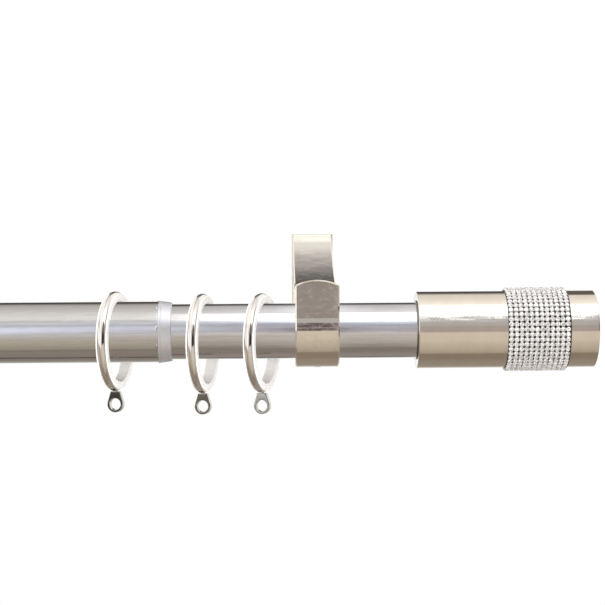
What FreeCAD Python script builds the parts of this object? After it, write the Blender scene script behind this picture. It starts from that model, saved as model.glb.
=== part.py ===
import FreeCAD, Part

# Extendable curtain rod: two telescoping tubes lying in two wall brackets, a drum finial with a
# band of cut stones on each end, and rings that hang from the tubes.
# +X runs along the rod to the finial of the inner tube, +Y points at the wall, +Z is up.
# The origin is the middle of the right bracket's wall plate, on the wall. Millimetres.

import math
import os
import re

import Sketcher

# Driving dimensions, each one set by itself

SIZES = {
    # tubes
    "outer_tube_d": 28.0,
    "outer_tube_wall": 0.6,
    "outer_tube_length": 400.0,
    "inner_tube_d": 25.4,
    "inner_tube_wall": 0.6,
    "inner_tube_length": 380.0,
    "tube_edge": 0.25,
    # plastic collar in the mouth of the outer tube
    "collar_length": 6.0,
    "collar_rim_d": 28.7,
    "collar_nose_d": 27.2,
    "collar_bevel": 0.6,
    "collar_spigot": 16.0,
    # plastic plug in the hidden end of the inner tube
    "glide_head": 5.0,
    "glide_spigot": 12.0,
    "glide_wall": 1.8,
    "glide_bevel": 0.8,
    # gaps between pieces
    "running_gap": 0.05,
    "push_gap": 0.05,
    "seat_gap": 0.3,
    "screw_gap": 0.1,
    # where the rings, the right bracket and the right finial stand, from the collar's outer end
    "collar_to_bracket": 56.5,
    "bracket_to_finial": 35.9,
    # finials
    "finial_d": 35.4,
    "finial_length": 82.0,
    "finial_wall": 1.0,
    "finial_round": 0.7,
    "cap_thickness": 2.5,
    "lip_thickness": 1.2,
    "lip_width": 0.8,
    "tube_insertion": 30.0,
    "adapter_floor": 2.5,
    "adapter_step": 2.5,
    "finial_screw_d": 4.0,
    "finial_screw_from_rim": 12.0,
    # stone band round each finial
    "band_from_rim": 40.6,
    "band_length": 28.0,
    "band_base_d": 36.4,
    "stone_height": 1.1,
    "stone_pitch": 2.3333,
    # hook brackets
    "bracket_width": 20.0,
    "bracket_bevel": 0.6,
    "projection": 93.5,
    "wall_drop": 18.7,
    "cup_bore_d": 28.6,
    "cup_wall": 3.7,
    "lip_setback": 0.55,
    "lip_height": 21.8,
    "lip_crown": 2.3,
    "arm_heel": 18.4,
    "arm_shoulder": 43.2,
    "arm_radius": 214.0,
    "arm_thickness": 5.5,
    "arm_neck": 10.0,
    "upturn_run": 4.5,
    "upturn_radius": 14.0,
    "upturn_land": 1.0,
    "flange_thickness": 7.0,
    "flange_height": 43.0,
    "flange_fillet": 6.0,
    "pole_screw_d": 4.0,
    "lock_screw_d": 4.0,
    "lock_screw_length": 7.0,
    "socket_share": 0.28,
    # wall plates
    "plate_width": 21.0,
    "plate_height": 58.0,
    "plate_thickness": 5.0,
    "plate_bevel": 0.6,
    "boss_width": 10.0,
    "boss_height": 22.0,
    "boss_depth": 5.0,
    "boss_above_middle": 6.5,
    "wall_hole_d": 4.5,
    "wall_hole_head_d": 8.6,
    "wall_hole_spacing": 47.0,
    # rings
    "ring_outer_d": 46.0,
    "ring_width": 3.8,
    "ring_depth": 3.0,
    "ring_crown": 2.0,
    "liner_bore_d": 37.0,
    "liner_width": 5.2,
    "liner_lip_d": 43.8,
    # swivel eyelets
    "eye_d": 7.6,
    "eye_hole_d": 5.5,
    "eye_drop": 5.6,
    "eye_top_width": 5.2,
    "eye_thickness": 3.2,
    "eye_round": 0.45,
    "stem_d": 1.6,
    "stem_head_d": 2.8,
    "stem_head_height": 1.0,
    "stem_head_recess": 1.2,
}

# How each ring hangs: distance of its middle from the outer tube's mouth or the collar's end,
# and its turn about the vertical

RINGS = {
    "ring_1": {"distance": 20.3, "turn": -11.7},
    "ring_2": {"distance": 13.9, "turn": -11.5},
    "ring_3": {"distance": 41.2, "turn": -16.0},
}
EYELET_TURN = -3.0

# Sizes that follow from the ones above

DERIVED = {
    "outer_tube_r": "outer_tube_d / 2",
    "outer_bore_r": "outer_tube_r - outer_tube_wall",
    "inner_tube_r": "inner_tube_d / 2",
    "inner_bore_r": "inner_tube_r - inner_tube_wall",
    "sleeve_r": "finial_d / 2",
    "sleeve_bore_r": "sleeve_r - finial_wall",
    "band_base_r": "band_base_d / 2",
    "band_tip_r": "band_base_r + stone_height",
    # places along the rod
    "bracket_x": "0",
    "collar_end_x": "bracket_x - bracket_width / 2 - collar_to_bracket",
    "mouth_x": "collar_end_x - collar_length",
    "outer_end_x": "mouth_x - outer_tube_length",
    "right_rim_x": "bracket_x + bracket_width / 2 + bracket_to_finial",
    "inner_right_x": "right_rim_x + tube_insertion",
    "inner_left_x": "inner_right_x - inner_tube_length",
    "left_rim_x": "outer_end_x + tube_insertion",
    "left_bracket_x": "left_rim_x + bracket_to_finial + bracket_width / 2",
    # the bracket's profile, measured from the middle of its cup
    "cup_r": "cup_bore_d / 2",
    "cup_outer_r": "cup_r + cup_wall",
    "lip_face": "cup_outer_r - lip_setback",
    "lip_corner": "lip_height - lip_crown",
    "lip_crown_r": "(bracket_width^2 / 4 + lip_crown^2) / (2 * lip_crown)",
    "plate_face": "projection - plate_thickness",
    "flange_face": "plate_face - flange_thickness",
    "upturn_end": "plate_face - upturn_land",
    "upturn_start": "upturn_end - upturn_run",
    "arm_run": "upturn_start - cup_r",
    "arm_rise": "arm_shoulder - arm_heel",
    "arm_chord": "sqrt(arm_run^2 + arm_rise^2)",
    "arm_reach": "sqrt(arm_radius^2 - arm_chord^2 / 4)",
    "arm_middle_y": "(cup_r + upturn_start) / 2 - arm_rise / arm_chord * arm_reach",
    "arm_middle_z": "(arm_heel + arm_shoulder) / 2 + arm_run / arm_chord * arm_reach",
    "upturn_middle_y": "upturn_start + (arm_middle_y - upturn_start) * upturn_radius / arm_radius",
    "upturn_middle_z": "arm_shoulder + (arm_middle_z - arm_shoulder) * upturn_radius / arm_radius",
    "upturn_top": "upturn_middle_z - sqrt(upturn_radius^2 - (upturn_end - upturn_middle_y)^2)",
    "arm_under_r": "arm_radius + arm_thickness",
    "arm_under_heel": "arm_middle_z - sqrt(arm_under_r^2 - (cup_outer_r - arm_middle_y)^2)",
    "arm_under_end": "arm_middle_z - sqrt(arm_under_r^2 - (flange_face - arm_middle_y)^2)",
    "flange_bottom": "upturn_top - flange_height",
    "boss_middle": "wall_drop + boss_above_middle",
    "boss_bottom": "boss_middle - boss_height / 2",
    # heights of the rod and of what carries it or hangs from it
    "rod_z": "0 - wall_drop - (cup_r - inner_tube_r - seat_gap)",
    "rod_y": "0 - projection",
    "left_bracket_z": "rod_z + (cup_r - outer_tube_r - seat_gap) + wall_drop",
    "liner_bore_r": "liner_bore_d / 2",
    "hang_on_outer": "outer_tube_r + seat_gap - liner_bore_r",
    "hang_on_inner": "inner_tube_r + seat_gap - liner_bore_r",
    # ring section
    "ring_outer_r": "ring_outer_d / 2",
    "ring_inner_r": "ring_outer_r - ring_depth",
    "ring_half": "ring_width / 2",
    "ring_shoulder_r": "ring_outer_r - ring_crown + sqrt(ring_crown^2 - ring_half^2)",
    "liner_lip_r": "liner_lip_d / 2",
    "liner_floor_r": "ring_inner_r - push_gap",
    "liner_half": "liner_width / 2",
    "groove_half": "ring_half + push_gap",
    # swivel eyelet
    "eye_r": "eye_d / 2",
    "eye_top": "0 - ring_outer_r - seat_gap",
    "eye_middle": "eye_top - eye_drop",
    "stem_r": "stem_d / 2",
    "stem_head_r": "stem_head_d / 2",
    "stem_seat": "0 - ring_inner_r - stem_head_recess",
    "stem_head_low": "stem_seat + running_gap",
    "stem_head_top": "stem_head_low + stem_head_height",
}

doc = FreeCAD.newDocument("CurtainRod")
sheet = doc.addObject("Spreadsheet::Sheet", "Sizes")
SUB_PARTS = []


def fill_sheet():
    """Write the driving sizes as plain numbers and the others as formulas, each with its alias."""
    cells = [(name, str(number)) for name, number in SIZES.items()]
    cells += [(name, "=" + formula) for name, formula in DERIVED.items()]
    for row, (name, content) in enumerate(cells, start=1):
        sheet.set(f"A{row}", name.replace("_", " "))
        sheet.set(f"B{row}", content)
        sheet.setAlias(f"B{row}", name)
    doc.recompute()


def linked(formula):
    """The formula with each size's name turned into a reference to its cell."""
    return re.sub(r"[a-z]\w*", lambda word: "Sizes." + word.group(), formula)


def number(formula):
    """What a formula of sizes comes to."""
    return float(sheet.evalExpression(formula))


# Sketches and features

def origin_plane(body, role):
    """One of a body's own origin planes or axes."""
    return next(item for item in body.Origin.OriginFeatures if item.Role == role)


def new_body(label, x="0", y="0", z="0", yaw=0.0):
    """An empty body at a place given by formulas, turned about the vertical by yaw degrees."""
    body = doc.addObject("PartDesign::Body", label)
    body.Label = label
    place(body, x, y, z, FreeCAD.Rotation(FreeCAD.Vector(0, 0, 1), yaw))
    SUB_PARTS.append(body)
    return body


def place(thing, x, y, z, rotation):
    """Stand an object at a place that follows the sizes."""
    thing.Placement = FreeCAD.Placement(FreeCAD.Vector(number(x), number(y), number(z)), rotation)
    for axis, formula in (("x", x), ("y", y), ("z", z)):
        thing.setExpression(f"Placement.Base.{axis}", linked(formula))


def new_sketch(body, name, role, lift="0"):
    """An empty sketch on an origin plane of the body, or lifted off it along its normal."""
    sketch = body.newObject("Sketcher::SketchObject", f"{body.Label}_{name}")
    sketch.AttachmentSupport = [(origin_plane(body, role), "")]
    sketch.MapMode = "FlatFace"
    if lift != "0":
        sketch.setExpression("AttachmentOffset.Base.z", linked(lift))
    return sketch


def bind(sketch, kind, *what):
    """Add a dimension whose value follows a formula, given last."""
    *where, formula = what
    index = sketch.addConstraint(Sketcher.Constraint(kind, *where, number(formula)))
    sketch.setExpression(f"Constraints[{index}]", linked(formula))


def pin(sketch, edge, end, across, up):
    """Fix an end of an edge by its two distances from the sketch's origin."""
    for kind, axis, formula in (("DistanceX", -2, across), ("DistanceY", -1, up)):
        if formula == "0":
            sketch.addConstraint(Sketcher.Constraint("PointOnObject", edge, end, axis))
        else:
            bind(sketch, kind, -1, 1, edge, end, formula)


def outline(sketch, points):
    """Draw a closed outline through points of formulas.

    A third entry turns the edge that leaves the point into an arc of that radius. It bulges to the
    right of the way along the outline, or to the left if the entry starts with a minus sign.
    """
    places = [FreeCAD.Vector(number(point[0]), number(point[1]), 0) for point in points]
    ends = []
    for index, point in enumerate(points):
        start = places[index]
        finish = places[(index + 1) % len(points)]
        if len(point) == 2:
            sketch.addGeometry(Part.LineSegment(start, finish), False)
            ends.append((1, 2))
            continue
        leftward = point[2].startswith("-")
        formula = point[2].lstrip("-")
        sketch.addGeometry(arc_between(start, finish, number(formula), leftward), False)
        ends.append((2, 1) if leftward else (1, 2))
        bind(sketch, "Radius", index, formula)
    for index, point in enumerate(points):
        following = (index + 1) % len(points)
        meeting = Sketcher.Constraint("Coincident", index, ends[index][1], following, ends[following][0])
        sketch.addConstraint(meeting)
        pin(sketch, index, ends[index][0], point[0], point[1])


def arc_between(start, finish, radius, leftward):
    """The short arc from start to finish, bulging to the right of its way, or to the left."""
    if leftward:
        start, finish = finish, start
    chord = finish - start
    across = FreeCAD.Vector(-chord.y, chord.x, 0).normalize()
    middle = (start + finish) / 2 + across * math.sqrt(radius ** 2 - (chord.Length / 2) ** 2)
    first = math.atan2(start.y - middle.y, start.x - middle.x)
    last = math.atan2(finish.y - middle.y, finish.x - middle.x)
    return Part.ArcOfCircle(Part.Circle(middle, FreeCAD.Vector(0, 0, 1), radius), first, last)


def circle(sketch, across, up, radius):
    """Draw a circle whose middle and radius follow formulas."""
    middle = FreeCAD.Vector(number(across), number(up), 0)
    index = sketch.addGeometry(Part.Circle(middle, FreeCAD.Vector(0, 0, 1), number(radius)), False)
    pin(sketch, index, 3, across, up)
    bind(sketch, "Radius", index, radius)


def rectangle(sketch, left, right, low, high):
    """Draw a rectangle between four formulas."""
    outline(sketch, [(left, low), (right, low), (right, high), (left, high)])


def revolve(body, name, sketch, axis="H_Axis"):
    """Turn a sketch all the way round one of its own axes."""
    feature = body.newObject("PartDesign::Revolution", f"{body.Label}_{name}")
    feature.Profile = sketch
    feature.ReferenceAxis = (sketch, [axis])
    feature.Angle = 360
    doc.recompute()
    return feature


def pad(body, name, sketch, length, symmetric=True, reverse=False):
    """Add a sketch's area as thick as a formula says."""
    feature = body.newObject("PartDesign::Pad", f"{body.Label}_{name}")
    feature.Profile = sketch
    feature.SideType = "Symmetric" if symmetric else "One side"
    feature.Reversed = reverse
    feature.setExpression("Length", linked(length))
    doc.recompute()
    return feature


def pocket(body, name, sketch, length, symmetric=False, reverse=False):
    """Cut a sketch's area as deep as a formula says, and make sure that it removes material."""
    before = body.Shape.Volume
    feature = body.newObject("PartDesign::Pocket", f"{body.Label}_{name}")
    feature.Profile = sketch
    feature.SideType = "Symmetric" if symmetric else "One side"
    feature.Reversed = reverse
    feature.setExpression("Length", linked(length))
    doc.recompute()
    if body.Shape.Volume >= before:
        raise RuntimeError(f"{feature.Label} cuts nothing")
    return feature


def dress(body, kind, name, edges, size):
    """Round or bevel edges of the body so far: kind is Fillet or Chamfer."""
    feature = body.newObject(f"PartDesign::{kind}", f"{body.Label}_{name}")
    feature.Base = (body.Tip if body.Tip != feature else feature.BaseFeature, edges)
    feature.setExpression("Radius" if kind == "Fillet" else "Size", linked(size))
    doc.recompute()
    return feature


def edges_where(body, test):
    """Names of the body's edges that pass a test."""
    return [f"Edge{count}" for count, edge in enumerate(body.Shape.Edges, start=1) if test(edge)]


def turned(label, points, x="0", y="rod_y", z="rod_z", yaw=0.0):
    """A body made by turning one outline of (along, radius) points about the X axis."""
    body = new_body(label, x, y, z, yaw)
    sketch = new_sketch(body, "section", "XZ_Plane")
    outline(sketch, points)
    revolve(body, "turning", sketch)
    return body


# Tubes and what guides them

def tube(label, left, length, radius, bore):
    """A plain tube with its edges broken."""
    return turned(label, [
        ("tube_edge", bore),
        (f"{length} - tube_edge", bore),
        (length, f"{bore} + tube_edge"),
        (length, f"{radius} - tube_edge"),
        (f"{length} - tube_edge", radius),
        ("tube_edge", radius),
        ("0", f"{radius} - tube_edge"),
        ("0", f"{bore} + tube_edge"),
    ], x=left)


def step_collar():
    """Tapered plastic collar whose spigot sits in the outer tube and guides the inner one."""
    bore = "inner_tube_r + running_gap"
    spigot = "outer_bore_r - push_gap"
    return turned("step_collar", [
        ("0 - collar_spigot", bore),
        ("collar_length", bore),
        ("collar_length", "collar_nose_d / 2 - collar_bevel"),
        ("collar_length - collar_bevel", "collar_nose_d / 2"),
        ("0", "collar_rim_d / 2"),
        ("0", spigot),
        ("0 - collar_spigot", spigot),
    ], x="mouth_x")


def inner_glide():
    """Plastic plug that centres the hidden end of the inner tube in the outer one."""
    head = "outer_bore_r - running_gap"
    spigot = "inner_bore_r - push_gap"
    return turned("inner_glide", [
        ("0 - glide_head", f"{spigot} - glide_wall"),
        ("glide_spigot", f"{spigot} - glide_wall"),
        ("glide_spigot", spigot),
        ("0", spigot),
        ("0", head),
        ("glide_bevel - glide_head", head),
        ("0 - glide_head", f"{head} - glide_bevel"),
    ], x="inner_left_x")


# Finials

def finial(side, rim, tube_r, yaw):
    """The pieces of one drum finial, drawn from its rim outwards and turned to face its end."""
    sleeve = turned(f"{side}_finial_sleeve", [
        ("0", "sleeve_bore_r"),
        ("finial_length", "sleeve_bore_r"),
        ("finial_length", "sleeve_r"),
        ("0", "sleeve_r"),
    ], x=rim, yaw=yaw)
    rims = edges_where(sleeve, lambda edge: abs(edge.BoundBox.ZLength - number("finial_d")) < 0.001
                       and edge.BoundBox.XLength < 0.001)
    dress(sleeve, "Fillet", "rounding", rims, "finial_round")
    radial_hole(sleeve, "screw_hole", "finial_screw_from_rim", "finial_screw_d / 2 + screw_gap",
                "sleeve_r + 1")

    turned(f"{side}_finial_cap", [
        ("finial_length - cap_thickness", "0"),
        ("finial_length", "0"),
        ("finial_length", "sleeve_bore_r - push_gap"),
        ("finial_length - cap_thickness", "sleeve_bore_r - push_gap"),
    ], x=rim, yaw=yaw)

    adapter = turned(f"{side}_finial_adapter", [
        ("0 - lip_width", f"{tube_r} + push_gap"),
        ("tube_insertion", f"{tube_r} + push_gap"),
        ("tube_insertion", f"{tube_r} - adapter_step"),
        ("tube_insertion + adapter_floor", f"{tube_r} - adapter_step"),
        ("tube_insertion + adapter_floor", "sleeve_bore_r - push_gap"),
        ("push_gap", "sleeve_bore_r - push_gap"),
        ("push_gap", f"{tube_r} + lip_thickness"),
        ("0 - lip_width", f"{tube_r} + lip_thickness"),
    ], x=rim, yaw=yaw)
    radial_hole(adapter, "screw_hole", "finial_screw_from_rim", "finial_screw_d / 2 + screw_gap",
                "sleeve_r + 1")

    grub_screw(f"{side}_finial_screw", "finial_screw_d / 2",
               f"sleeve_r - seat_gap - {tube_r} - push_gap",
               f"{rim} + finial_screw_from_rim" if yaw == 0 else f"{rim} - finial_screw_from_rim",
               "rod_y", f"rod_z - sleeve_r + seat_gap")
    stone_band(f"{side}_finial_stones", rim, yaw)


def radial_hole(body, name, along, radius, depth):
    """A round hole from the axis straight down through the wall."""
    sketch = new_sketch(body, name, "XY_Plane")
    circle(sketch, along, "0", radius)
    return pocket(body, f"{name}_cut", sketch, depth)


def stone_band(label, rim, yaw):
    """A strip of cut stones round the finial: one four-sided point in each cell of its mesh."""
    length = number("band_length")
    base_r = number("band_base_r")
    tip_r = number("band_tip_r")
    columns = round(length / number("stone_pitch"))
    rows = round(2 * math.pi * (base_r + tip_r) / 2 / number("stone_pitch"))
    step = length / columns
    turn = 2 * math.pi / rows
    bore_r = number("sleeve_r + push_gap") / math.cos(turn / 2)
    begin = number("band_from_rim")

    def corner(column, row, radius):
        """A point of the band's grid: columns along the rod, rows round it."""
        angle = row * turn
        return FreeCAD.Vector(begin + column * step, radius * math.cos(angle), radius * math.sin(angle))

    def face(*corners):
        """A flat face with these corners."""
        return Part.Face(Part.makePolygon([*corners, corners[0]]))

    faces = []
    for row in range(rows):
        for column in range(columns):
            cell = [
                corner(column, row, base_r),
                corner(column + 1, row, base_r),
                corner(column + 1, row + 1, base_r),
                corner(column, row + 1, base_r),
            ]
            tip = corner(column + 0.5, row + 0.5, tip_r)
            for side in range(4):
                faces.append(face(cell[side], cell[(side + 1) % 4], tip))
        inside = [
            corner(0, row, bore_r),
            corner(columns, row, bore_r),
            corner(columns, row + 1, bore_r),
            corner(0, row + 1, bore_r),
        ]
        faces.append(face(*inside))
        for column in (0, columns):
            faces.append(face(corner(column, row, bore_r), corner(column, row + 1, bore_r),
                              corner(column, row + 1, base_r), corner(column, row, base_r)))
    shell = Part.makeShell(faces)
    shell.sewShape()
    solid = Part.makeSolid(shell)
    if solid.Volume < 0:
        solid.reverse()
    band = doc.addObject("Part::Feature", label)
    band.Label = label
    band.Shape = solid
    place(band, rim, "rod_y", "rod_z", FreeCAD.Rotation(FreeCAD.Vector(0, 0, 1), yaw))
    SUB_PARTS.append(band)


# Screws

def grub_screw(label, radius, length, x, y, z):
    """A headless screw standing on its socket end, with a hexagon socket in its underside."""
    shank = doc.addObject("Part::Cylinder", f"{label}_shank")
    shank.setExpression("Radius", linked(radius))
    shank.setExpression("Height", linked(length))
    socket = doc.addObject("Part::Prism", f"{label}_socket")
    socket.Polygon = 6
    socket.setExpression("Circumradius", linked(f"({radius}) * 2 * socket_share"))
    socket.setExpression("Height", linked(f"({length}) / 2"))
    screw = doc.addObject("Part::Cut", label)
    screw.Base = shank
    screw.Tool = socket
    screw.Label = label
    place(screw, x, y, z, FreeCAD.Rotation())
    SUB_PARTS.append(screw)
    doc.recompute()


# Brackets

def hook_arm(side, x, z):
    """Extruded hook: a cup with a flat front lip, an arm that sweeps up and a flange at the wall."""
    arm = new_body(f"{side}_hook_arm", x, "0 - projection", f"({z}) - wall_drop")

    disc = new_sketch(arm, "cup_outline", "YZ_Plane")
    circle(disc, "0", "0", "cup_outer_r")
    pad(arm, "cup", disc, "bracket_width")

    lip = new_sketch(arm, "lip_outline", "YZ_Plane")
    rectangle(lip, "0 - lip_face", "0", "0", "lip_height")
    pad(arm, "lip", lip, "bracket_width")

    sweep = new_sketch(arm, "arm_outline", "YZ_Plane")
    outline(sweep, [
        ("0", "0"),
        ("cup_outer_r", "0"),
        ("cup_outer_r", "arm_under_heel", "arm_under_r"),
        ("flange_face", "arm_under_end"),
        ("flange_face", "flange_bottom"),
        ("plate_face", "flange_bottom"),
        ("plate_face", "upturn_top"),
        ("upturn_end", "upturn_top", "-upturn_radius"),
        ("upturn_start", "arm_shoulder", "-arm_radius"),
        ("cup_r", "arm_heel"),
        ("0", "arm_heel"),
    ])
    pad(arm, "arm", sweep, "bracket_width")

    bore = new_sketch(arm, "bore_outline", "YZ_Plane")
    outline(bore, [
        ("0 - cup_r", "0", "cup_r"),
        ("0", "0 - cup_r", "cup_r"),
        ("cup_r", "0"),
        ("cup_r", "arm_shoulder"),
        ("0 - cup_r", "arm_shoulder"),
    ])
    pocket(arm, "mouth", bore, "bracket_width + 2", symmetric=True)

    crown = new_sketch(arm, "crown_outline", "XZ_Plane")
    outline(crown, [
        ("bracket_width / 2", "lip_corner", "lip_crown_r"),
        ("0 - bracket_width / 2", "lip_corner"),
        ("0 - bracket_width / 2 - 1", "lip_corner"),
        ("0 - bracket_width / 2 - 1", "lip_height + 1"),
        ("bracket_width / 2 + 1", "lip_height + 1"),
        ("bracket_width / 2 + 1", "lip_corner"),
    ])
    pocket(arm, "crown", crown, "lip_face + 1", reverse=True)

    dress(arm, "Fillet", "neck", edges_where(arm, lambda edge: runs_across(
        edge, "cup_outer_r", "arm_under_heel")), "arm_neck")
    dress(arm, "Fillet", "flange_root", edges_where(arm, lambda edge: runs_across(
        edge, "flange_face", "arm_under_end")), "flange_fillet")
    dress(arm, "Chamfer", "side_bevels", side_edges(arm), "bracket_bevel")
    dress(arm, "Chamfer", "crown_bevel", edges_where(arm, is_crown_edge), "bracket_bevel")

    seat = new_sketch(arm, "boss_pocket", "XZ_Plane", "0 - plate_face")
    rectangle(seat, "0 - boss_width / 2 - screw_gap", "boss_width / 2 + screw_gap",
              "boss_bottom - screw_gap", "boss_bottom + boss_height + screw_gap")
    pocket(arm, "boss_seat", seat, "boss_depth + screw_gap", reverse=True)

    lock = new_sketch(arm, "lock_hole", "XY_Plane", "flange_bottom")
    circle(lock, "0", "plate_face - flange_thickness / 2", "lock_screw_d / 2 + screw_gap")
    pocket(arm, "lock_cut", lock, "boss_bottom - flange_bottom", reverse=True)

    radial_hole(arm, "pole_screw_hole", "0", "pole_screw_d / 2 + screw_gap", "cup_outer_r + 1")

    grub_screw(f"{side}_lock_screw", "lock_screw_d / 2", "lock_screw_length", x,
               "0 - plate_thickness - flange_thickness / 2",
               f"({z}) - wall_drop + boss_bottom - seat_gap - lock_screw_length")
    grub_screw(f"{side}_pole_screw", "pole_screw_d / 2", "cup_wall - screw_gap", x,
               "0 - projection", f"({z}) - wall_drop - cup_outer_r")


def runs_across(edge, y, z):
    """Whether an edge lies along X through a point of the bracket's profile."""
    box = edge.BoundBox
    base_y = number("0 - projection")
    return (box.XLength > 1 and box.YLength < 0.001 and box.ZLength < 0.001
            and abs(box.YMin - base_y - number(y)) < 0.01
            and abs(edge.Vertexes[0].Z - number(z) - edge_height(edge)) < 0.01)


def edge_height(edge):
    """Height of the cup's middle under the bracket that an edge belongs to."""
    return number("0 - wall_drop") if edge.BoundBox.Center.x > number("collar_end_x") else number(
        "left_bracket_z - wall_drop")


def is_crown_edge(edge):
    """Whether an edge is the arc between the lip's front face and its crown."""
    box = edge.BoundBox
    front = number("0 - projection - lip_face")
    return box.YLength < 0.001 and abs(box.YMin - front) < 0.001 and min(box.XLength, box.ZLength) > 0.1


def side_edges(arm):
    """Edges that lie in either side face of an extruded piece."""
    box = arm.Shape.BoundBox

    def in_side(edge):
        across = edge.BoundBox
        flat = across.XLength < 0.001
        return flat and min(abs(across.XMin - box.XMin), abs(across.XMax - box.XMax)) < 0.001

    return edges_where(arm, in_side)


def wall_plate(side, x, z):
    """Plate that two countersunk screws hold to the wall, with the boss that the arm fits over."""
    plate = new_body(f"{side}_wall_plate", x, "0", z)
    back = new_sketch(plate, "plate_outline", "XZ_Plane")
    rectangle(back, "0 - plate_width / 2", "plate_width / 2", "0 - plate_height / 2", "plate_height / 2")
    pad(plate, "plate", back, "plate_thickness", symmetric=False)
    front = plate.Shape.BoundBox.YMin
    dress(plate, "Chamfer", "bevels", edges_where(plate, lambda edge: edge.BoundBox.YMax < front + 0.001),
          "plate_bevel")

    raised = new_sketch(plate, "boss_outline", "XZ_Plane")
    rectangle(raised, "0 - boss_width / 2", "boss_width / 2",
              "boss_bottom - wall_drop", "boss_bottom - wall_drop + boss_height")
    pad(plate, "boss", raised, "plate_thickness + boss_depth", symmetric=False)

    marks = new_sketch(plate, "screw_marks", "XZ_Plane", "plate_thickness")
    for height in ("wall_hole_spacing / 2", "0 - wall_hole_spacing / 2"):
        circle(marks, "0", height, "wall_hole_d / 2")
    doc.recompute()
    before = plate.Shape.Volume
    holes = plate.newObject("PartDesign::Hole", f"{plate.Label}_screw_holes")
    holes.Profile = marks
    doc.recompute()
    holes.ThreadType = "None"
    holes.DepthType = "ThroughAll"
    holes.HoleCutType = "Countersink"
    holes.HoleCutCustomValues = True
    holes.HoleCutCountersinkAngle = 90
    holes.setExpression("Diameter", linked("wall_hole_d"))
    holes.setExpression("HoleCutDiameter", linked("wall_hole_head_d"))
    doc.recompute()
    if plate.Shape.Volume >= before:
        raise RuntimeError(f"{holes.Label} cuts nothing")


# Rings

def ring(name, x, z, turn):
    """One ring: a crowned metal hoop, the nylon liner it is seated on, and its swivel eyelet."""
    hoop = turned(f"{name}_hoop", [
        ("0 - ring_half", "ring_inner_r"),
        ("ring_half", "ring_inner_r"),
        ("ring_half", "ring_shoulder_r", "ring_crown"),
        ("0", "ring_outer_r", "ring_crown"),
        ("0 - ring_half", "ring_shoulder_r"),
    ], x=x, z=z, yaw=turn)
    radial_hole(hoop, "stem_hole", "0", "stem_r + screw_gap", "ring_outer_r + 1")
    radial_hole(hoop, "head_recess", "0", "stem_head_r + screw_gap", "0 - stem_seat")

    turned(f"{name}_liner", [
        ("0 - liner_half", "liner_bore_r"),
        ("liner_half", "liner_bore_r"),
        ("liner_half", "liner_lip_r"),
        ("groove_half", "liner_lip_r"),
        ("groove_half", "liner_floor_r"),
        ("0 - groove_half", "liner_floor_r"),
        ("0 - groove_half", "liner_lip_r"),
        ("0 - liner_half", "liner_lip_r"),
    ], x=x, z=z, yaw=turn)

    eyelet(name, x, z, turn + EYELET_TURN)


def eyelet(name, x, z, turn):
    """Drop-shaped eye under a ring, with a headed stem that turns in the hoop."""
    eye = new_body(f"{name}_eyelet", x, "rod_y", z, turn)
    drop = new_sketch(eye, "drop_outline", "XZ_Plane")
    outline(drop, [
        ("0 - eye_r", "eye_middle", "eye_r"),
        ("0", "eye_middle - eye_r", "eye_r"),
        ("eye_r", "eye_middle"),
        ("eye_top_width / 2", "eye_top"),
        ("0 - eye_top_width / 2", "eye_top"),
    ])
    pad(eye, "plate", drop, "eye_thickness")
    half = number("eye_thickness / 2")
    flat = edges_where(eye, lambda edge: is_on_plate_face(edge, eye, half))
    dress(eye, "Fillet", "rounding", flat, "eye_round")
    hole = new_sketch(eye, "hole_outline", "XZ_Plane")
    circle(hole, "0", "eye_middle", "eye_hole_d / 2")
    pocket(eye, "hole", hole, "eye_thickness + 2", symmetric=True)
    stem = new_sketch(eye, "stem_section", "XZ_Plane")
    outline(stem, [
        ("0", "eye_top - eye_round - 1"),
        ("stem_r", "eye_top - eye_round - 1"),
        ("stem_r", "stem_head_low"),
        ("stem_head_r", "stem_head_low"),
        ("stem_head_r", "stem_head_top"),
        ("0", "stem_head_top"),
    ])
    revolve(eye, "stem", stem, "V_Axis")


def is_on_plate_face(edge, body, half):
    """Whether an edge lies in the front or back face of an upright plate of this half thickness."""
    home = body.Placement.inverse()
    depths = [home.multVec(vertex.Point).y for vertex in edge.Vertexes]
    return all(abs(abs(depth) - half) < 0.001 for depth in depths) and abs(depths[0] - depths[-1]) < 0.001


def check_sub_parts():
    """Stop if anything in the document failed, or if a sub-part isn't one sound solid."""
    for item in doc.Objects:
        if "Invalid" in item.State or "Error" in item.State:
            raise RuntimeError(f"{item.Label} failed: {item.State}")
    for item in SUB_PARTS:
        if item.Shape.isNull() or not item.Shape.isValid() or len(item.Shape.Solids) != 1:
            raise RuntimeError(f"{item.Label} is not one valid solid")


def write_sub_parts():
    """Save each sub-part under its own name."""
    os.makedirs("parts", exist_ok=True)
    for item in SUB_PARTS:
        item.Shape.exportStep(f"parts/{item.Label}.step")


fill_sheet()
tube("outer_tube", "outer_end_x", "outer_tube_length", "outer_tube_r", "outer_bore_r")
tube("inner_tube", "inner_left_x", "inner_tube_length", "inner_tube_r", "inner_bore_r")
step_collar()
inner_glide()
finial("right", "right_rim_x", "inner_tube_r", 0.0)
finial("left", "left_rim_x", "outer_tube_r", 180.0)
for hand, bracket_x, bracket_z in (("right", "bracket_x", "0"), ("left", "left_bracket_x", "left_bracket_z")):
    wall_plate(hand, bracket_x, bracket_z)
    hook_arm(hand, bracket_x, bracket_z)
ring("ring_1", f"mouth_x - {RINGS['ring_1']['distance']}", "rod_z + hang_on_outer", RINGS["ring_1"]["turn"])
for hung in ("ring_2", "ring_3"):
    ring(hung, f"collar_end_x + {RINGS[hung]['distance']}", "rod_z + hang_on_inner", RINGS[hung]["turn"])
doc.recompute()
check_sub_parts()
write_sub_parts()
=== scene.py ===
import logging
import math
import random
from dataclasses import dataclass
from enum import Enum

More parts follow.
